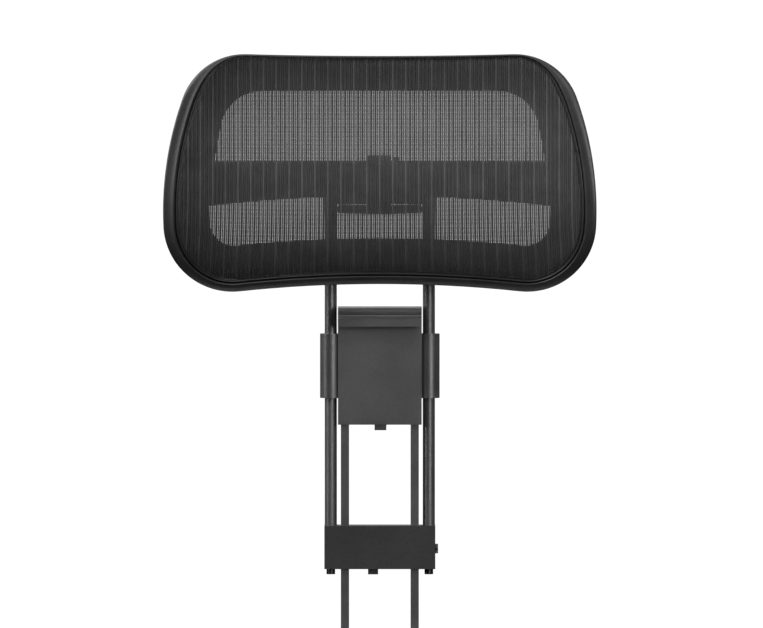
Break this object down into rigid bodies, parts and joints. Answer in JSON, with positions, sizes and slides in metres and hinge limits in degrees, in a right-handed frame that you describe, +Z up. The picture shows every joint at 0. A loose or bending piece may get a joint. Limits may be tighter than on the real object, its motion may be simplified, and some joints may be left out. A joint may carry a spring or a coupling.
{
  "type": "chair headrest attachment",
  "caption": "Mesh headrest in a curved rim with a windowed rear shell, tilting on a block that slides up and down behind a chair's back on a hooked bracket and rails.",
  "frame": {"origin": "middle of the hook's seat, where its rubber pad rests on the top edge of the chair's back", "axes": "+Z up, -Y towards the sitter, +X to the right in a front view"},
  "size_m": [0.3332, 0.106, 0.6325],
  "materials": {
    "rim_plastic": "fine grain, semi-matte black",
    "shell_plastic": "fine grain, matte black",
    "carrier_plastic": "matte black",
    "mesh_fabric": "woven elastomer mesh, graphite",
    "powder_coat": "fine textured powder coat, graphite",
    "post_coat": "satin graphite coat",
    "cast_alloy": "fine textured powder coat on cast aluminium",
    "black_steel": "black oxide",
    "spring_steel": "bare",
    "slide_plastic": "acetal, smooth",
    "cover_plastic": "fine grain, matte black",
    "knob_plastic": "smooth, semi-matte",
    "rubber": "matte"
  },
  "bodies": {
    "bracket": {"top_hook_bracket": "powder_coat", "hook_pad": "rubber", "guide_bush_left": "slide_plastic", "guide_bush_right": "slide_plastic", "rail_left": "powder_coat", "rail_right": "powder_coat", "rail_screws": "black_steel", "foot_screws": "black_steel", "foot_bracket": "powder_coat", "foot_pad": "rubber", "bracket_rear_cover": "cover_plastic", "cover_screws": "black_steel"},
    "lift": {"post_left": "post_coat", "post_right": "post_coat", "tie_rod": "post_coat", "crosshead": "cast_alloy", "crosshead_screws": "black_steel", "axle_bolt": "black_steel", "friction_washers": "slide_plastic", "disc_springs": "spring_steel", "carriage_block": "cast_alloy", "rail_sliders": "slide_plastic", "carriage_cover": "cover_plastic", "carriage_screws": "black_steel", "post_screws": "black_steel", "tension_screw": "black_steel", "friction_pad": "slide_plastic"},
    "head": {"rim_frame": "rim_plastic", "mesh_carrier": "carrier_plastic", "mesh_panel": "mesh_fabric", "rear_shell": "shell_plastic", "shell_screws": "black_steel", "tilt_bracket": "cast_alloy", "bracket_screws": "black_steel"},
    "knob": {"tension_knob": "knob_plastic"}
  },
  "joints": [
    {"name": "height_slide", "type": "slide", "parent": "bracket", "child": "lift", "axis": [0, 0, 1], "range_m": [-0.008, 0.07]},
    {"name": "head_tilt", "type": "hinge", "parent": "lift", "child": "head", "pos_m": [0, -0.0045, 0.1143], "axis": [1, 0, 0], "range_deg": [-30, 12]},
    {"name": "tension_knob_turn", "type": "hinge", "parent": "lift", "child": "knob", "pos_m": [0.0129, -0.0045, 0.1143], "axis": [1, 0, 0], "range_deg": [-180, 180]}
  ]
}
